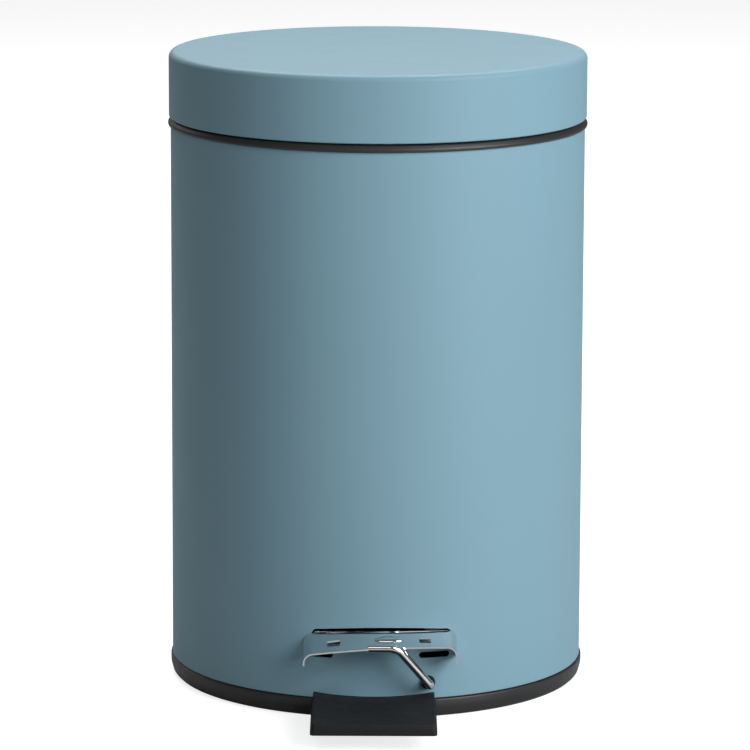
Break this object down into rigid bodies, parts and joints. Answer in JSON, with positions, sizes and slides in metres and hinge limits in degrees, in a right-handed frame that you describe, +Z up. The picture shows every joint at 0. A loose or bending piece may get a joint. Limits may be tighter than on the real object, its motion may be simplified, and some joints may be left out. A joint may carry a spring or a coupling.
{
  "type": "pedal bin",
  "caption": "Round painted steel pedal bin: a front pedal lifts the hinged lid through a lever and push rod, over a removable bucket with a wire handle.",
  "frame": {"origin": "middle of the underside, on the axis of the drum, on the floor", "axes": "+Z up, pedal towards -Y, lid hinge towards +Y, +X to the right seen from the front"},
  "size_m": [0.1702, 0.2258, 0.257],
  "materials": {
    "blue_paint": "satin powder coat",
    "black_plastic": "moulded, satin",
    "black_rubber": "matt",
    "chrome": "bright plated",
    "zinc_steel": "zinc plated"
  },
  "bodies": {
    "bin_body": {"barrel": "blue_paint", "barrel_floor": "zinc_steel", "base_ring": "black_plastic", "rim_ring": "black_plastic", "hinge_bracket": "zinc_steel", "bracket_rivet_1": "zinc_steel", "bracket_rivet_2": "zinc_steel", "hinge_pin": "zinc_steel", "rod_guide": "black_plastic", "guide_rivet": "zinc_steel", "pedal_bracket": "zinc_steel", "floor_screw_1": "zinc_steel", "floor_screw_2": "zinc_steel", "pedal_axle": "zinc_steel", "front_bracket": "chrome", "latch_grommet": "black_rubber"},
    "lid": {"lid": "blue_paint", "lid_leaf": "zinc_steel", "leaf_rivet_1": "zinc_steel", "leaf_rivet_2": "zinc_steel"},
    "pedal": {"pedal_lever": "zinc_steel", "pedal_pad": "black_rubber", "pad_screw_1": "zinc_steel", "pad_screw_2": "zinc_steel"},
    "push_rod": {"push_rod": "zinc_steel", "rod_clip_lower": "zinc_steel", "rod_clip_upper": "zinc_steel"},
    "latch": {"latch_wire": "chrome", "latch_clip": "zinc_steel"},
    "bucket": {"bucket": "black_plastic"},
    "bail": {"bail_wire": "zinc_steel", "bail_grip": "black_plastic"}
  },
  "joints": [
    {"name": "lid_hinge", "type": "hinge", "parent": "bin_body", "child": "lid", "pos_m": [0, 0.0882, 0.217], "axis": [-1, 0, 0], "range_deg": [0, 75]},
    {"name": "pedal_hinge", "type": "hinge", "parent": "bin_body", "child": "pedal", "pos_m": [0, -0.07, 0.0098], "axis": [1, 0, 0], "range_deg": [0, 5]},
    {"name": "push_rod_slide", "type": "slide", "parent": "bin_body", "child": "push_rod", "axis": [0, 0, 1], "range_m": [0, 0.01307]},
    {"name": "latch_swing", "type": "hinge", "parent": "bin_body", "child": "latch", "pos_m": [0.0208, -0.08138, 0.0148], "axis": [0, -1, 0], "range_deg": [0, 30]},
    {"name": "bucket_lift", "type": "slide", "parent": "bin_body", "child": "bucket", "axis": [0, 0, 1], "range_m": [0, 0.008]},
    {"name": "bail_swing", "type": "hinge", "parent": "bucket", "child": "bail", "pos_m": [0, 0, 0.2346], "axis": [-1, 0, 0], "range_deg": [0, 6]}
  ],
  "couplings": [
    {"joint": "pedal_hinge", "follows": "lid_hinge", "ratio": 0.066667},
    {"joint": "push_rod_slide", "follows": "lid_hinge", "m_per_rad": 0.0099672}
  ]
}
